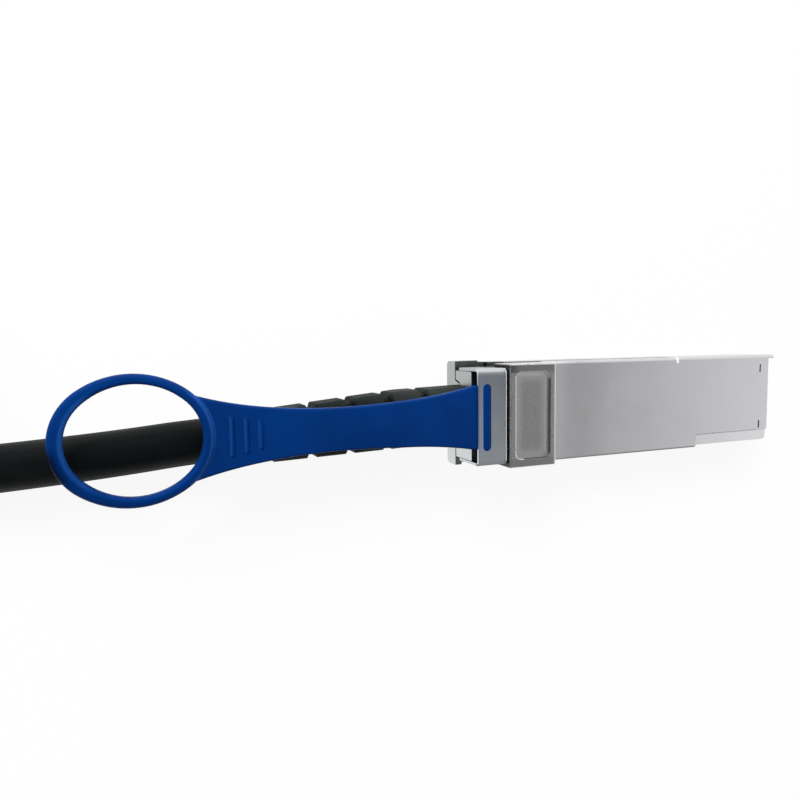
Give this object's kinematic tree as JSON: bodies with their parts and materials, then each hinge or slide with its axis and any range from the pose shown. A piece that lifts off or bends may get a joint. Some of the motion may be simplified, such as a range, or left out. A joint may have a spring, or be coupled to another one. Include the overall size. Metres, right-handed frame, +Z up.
{
  "type": "breakout cable",
  "caption": "Direct-attach breakout cable: a wide metal-shelled plug with a blue ring pull and segmented strain relief, a round cable, a splitter and small plugs on thin legs.",
  "frame": {"origin": "on the flat underside of the large plug, below the middle of its shoulder's front face", "axes": "+X along the large plug towards its mating end, +Y across it, +Z up from its underside"},
  "size_m": [0.3879, 0.061, 0.017],
  "materials": {
    "cast_zinc": "satin",
    "stamped_steel": "satin",
    "tab_plastic": "satin",
    "boot_rubber": "matte",
    "board": "satin",
    "pair_insulation": "satin",
    "crimp_brass": "satin",
    "jacket": "matte"
  },
  "bodies": {
    "plug": {"bottom_shell": "cast_zinc", "top_shell": "cast_zinc", "sfp_shell_1": "cast_zinc", "sfp_shell_2": "cast_zinc", "sfp_shell_3": "cast_zinc", "sfp_shell_4": "cast_zinc", "return_springs": "stamped_steel", "shell_screws": "stamped_steel", "sfp_cover_1": "stamped_steel", "sfp_spring_1": "stamped_steel", "sfp_cover_2": "stamped_steel", "sfp_spring_2": "stamped_steel", "sfp_cover_3": "stamped_steel", "sfp_spring_3": "stamped_steel", "sfp_cover_4": "stamped_steel", "sfp_spring_4": "stamped_steel", "strain_relief": "boot_rubber", "splitter": "boot_rubber", "leg_tie": "boot_rubber", "sfp_boot_1": "boot_rubber", "sfp_boot_2": "boot_rubber", "sfp_boot_3": "boot_rubber", "sfp_boot_4": "boot_rubber", "paddle_card": "board", "sfp_card_1": "board", "sfp_card_2": "board", "sfp_card_3": "board", "sfp_card_4": "board", "twinax_pairs": "pair_insulation", "crimp_ferrule": "crimp_brass", "cable_end": "jacket", "trunk_cable": "jacket", "leg_1": "jacket", "leg_2": "jacket", "leg_3": "jacket", "leg_4": "jacket"},
    "release": {"release_slider": "stamped_steel", "pull_tab": "tab_plastic"},
    "small_release_1": {"sfp_slider_1": "tab_plastic"},
    "small_release_2": {"sfp_slider_2": "tab_plastic"},
    "small_release_3": {"sfp_slider_3": "tab_plastic"},
    "small_release_4": {"sfp_slider_4": "tab_plastic"}
  },
  "joints": [
    {"name": "release_slide", "type": "slide", "parent": "plug", "child": "release", "axis": [-1, 0, 0], "range_m": [0, 0.0024], "stiffness_N_per_m": 800, "springref_m": -0.001, "deforming": ["return_springs"]},
    {"name": "small_release_slide_1", "type": "slide", "parent": "plug", "child": "small_release_1", "axis": [-1, 0, 0], "range_m": [0, 0.002], "stiffness_N_per_m": 500, "springref_m": -0.001, "deforming": ["sfp_spring_1"]},
    {"name": "small_release_slide_2", "type": "slide", "parent": "plug", "child": "small_release_2", "axis": [-1, 0, 0], "range_m": [0, 0.002], "stiffness_N_per_m": 500, "springref_m": -0.001, "deforming": ["sfp_spring_2"]},
    {"name": "small_release_slide_3", "type": "slide", "parent": "plug", "child": "small_release_3", "axis": [-1, 0, 0], "range_m": [0, 0.002], "stiffness_N_per_m": 500, "springref_m": -0.001, "deforming": ["sfp_spring_3"]},
    {"name": "small_release_slide_4", "type": "slide", "parent": "plug", "child": "small_release_4", "axis": [-1, 0, 0], "range_m": [0, 0.002], "stiffness_N_per_m": 500, "springref_m": -0.001, "deforming": ["sfp_spring_4"]}
  ]
}
